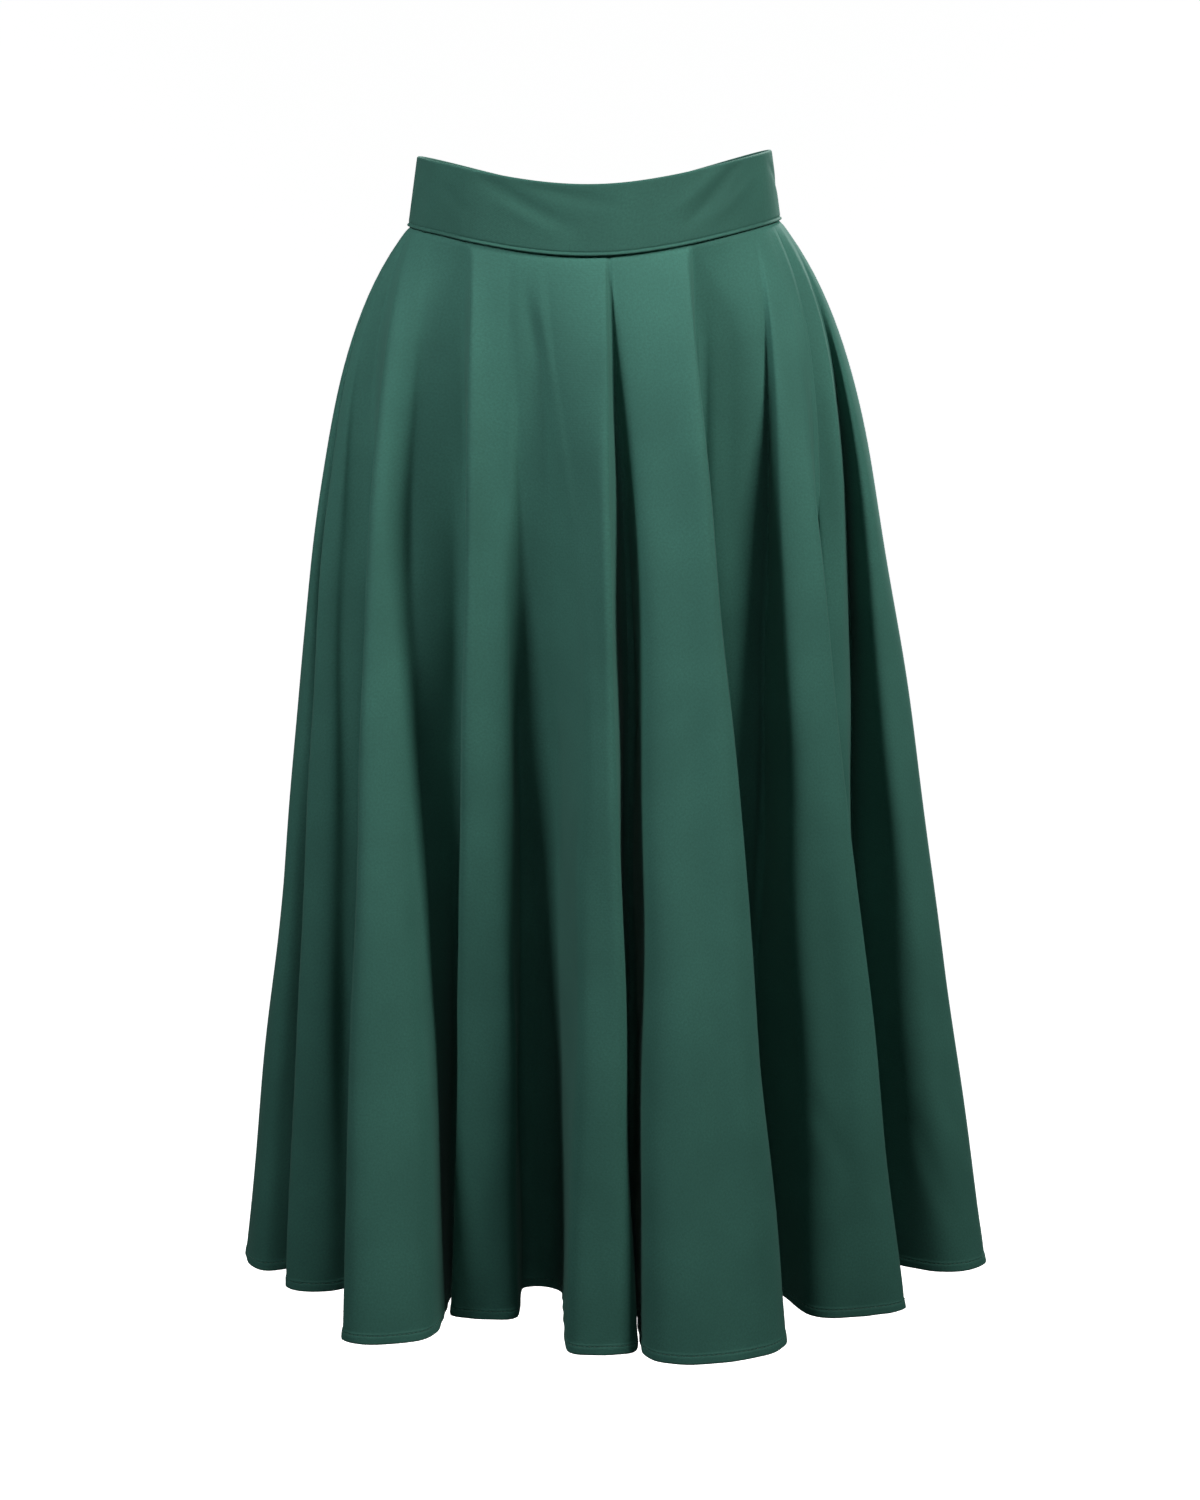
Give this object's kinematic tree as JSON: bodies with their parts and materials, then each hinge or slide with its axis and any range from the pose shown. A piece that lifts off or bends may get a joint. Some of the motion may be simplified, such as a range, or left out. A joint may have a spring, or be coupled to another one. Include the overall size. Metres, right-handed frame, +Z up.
{
  "type": "circle skirt",
  "caption": "Midi circle skirt in plain cloth, worn form: shaped waistband, four flared panels falling in deep folds, centre back zip with a pull tab.",
  "frame": {"origin": "middle of the waist opening, half way up the waistband at the side seams", "axes": "+Z up, the front faces -Y, the wearer's left is +X"},
  "size_m": [0.5152, 0.4574, 0.7671],
  "materials": {
    "cloth": "matt smooth crepe, bottle green",
    "zip_tape": "matt woven tape, dark green",
    "zip_metal": "enamelled in the cloth's colour"
  },
  "bodies": {
    "skirt": {"waistband_front": "cloth", "waistband_back_left": "cloth", "waistband_back_right": "cloth", "panel_front_right": "cloth", "panel_front_left": "cloth", "panel_back_left": "cloth", "panel_back_right": "cloth", "zip_tape": "zip_tape", "zip_slider": "zip_metal"},
    "pull_tab": {"zip_pull": "zip_metal"}
  },
  "joints": [
    {"name": "pull_tab_swing", "type": "hinge", "parent": "skirt", "child": "pull_tab", "pos_m": [0, 0.09918, -0.00973], "axis": [1, 0, 0], "range_deg": [0, 170]}
  ]
}
